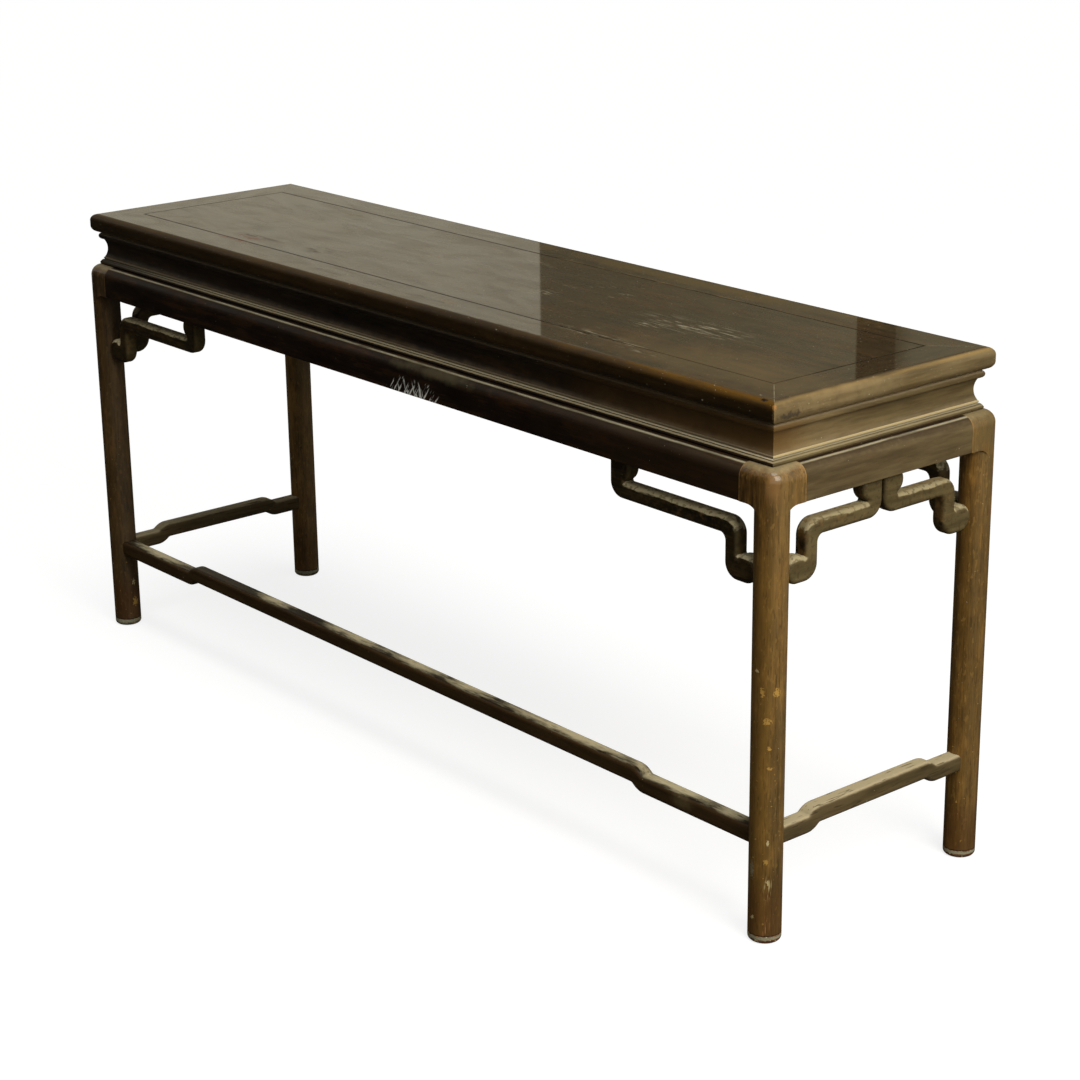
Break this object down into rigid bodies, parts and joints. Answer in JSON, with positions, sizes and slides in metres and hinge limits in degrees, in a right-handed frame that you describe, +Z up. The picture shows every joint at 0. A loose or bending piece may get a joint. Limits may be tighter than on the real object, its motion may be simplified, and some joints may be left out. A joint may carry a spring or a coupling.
{
  "type": "altar table",
  "caption": "Long narrow altar table: framed panel top on a hollow waist, round legs, aprons, scroll brackets and humpback stretchers.",
  "frame": {"origin": "on the floor under the middle of the table", "axes": "+X along the table's length, -Y towards the side with the long stretcher, +Z up"},
  "size_m": [1.815, 0.478, 0.813],
  "materials": {
    "top_frame": "dark brown lacquer, polished, worn along the edges",
    "top_panel": "dark brown lacquer, polished, lightly scratched",
    "batten": "bare dark wood",
    "waist": "dark brown lacquer, satin, dusty",
    "bead": "dark brown lacquer, satin, dusty on the ridges",
    "apron": "dark brown lacquer, satin",
    "leg": "dark brown lacquer, satin, chipped and worn low down",
    "foot": "turned wood, worn to a reddish brown with a pale rim",
    "stretcher": "dark brown lacquer, dusty on top",
    "bracket": "dark brown lacquer, dusty on top",
    "peg": "bare hardwood"
  },
  "bodies": {
    "root": {"apron_back": "apron", "apron_front": "apron", "apron_left": "apron", "apron_right": "apron", "bead_back": "bead", "bead_front": "bead", "bead_left": "bead", "bead_right": "bead", "bracket_long_back_left": "bracket", "bracket_long_back_right": "bracket", "bracket_long_front_left": "bracket", "bracket_long_front_right": "bracket", "bracket_pegs": "peg", "bracket_short_back_left": "bracket", "bracket_short_back_right": "bracket", "bracket_short_front_left": "bracket", "bracket_short_front_right": "bracket", "foot_back_left": "foot", "foot_back_right": "foot", "foot_front_left": "foot", "foot_front_right": "foot", "leg_back_left": "leg", "leg_back_right": "leg", "leg_front_left": "leg", "leg_front_right": "leg", "panel_batten_1": "batten", "panel_batten_2": "batten", "panel_batten_3": "batten", "panel_batten_4": "batten", "stretcher_front": "stretcher", "stretcher_left": "stretcher", "stretcher_right": "stretcher", "top_frame_back": "top_frame", "top_frame_front": "top_frame", "top_frame_left": "top_frame", "top_frame_right": "top_frame", "top_panel": "top_panel", "waist_back": "waist", "waist_front": "waist", "waist_left": "waist", "waist_right": "waist"}
  },
  "joints": []
}
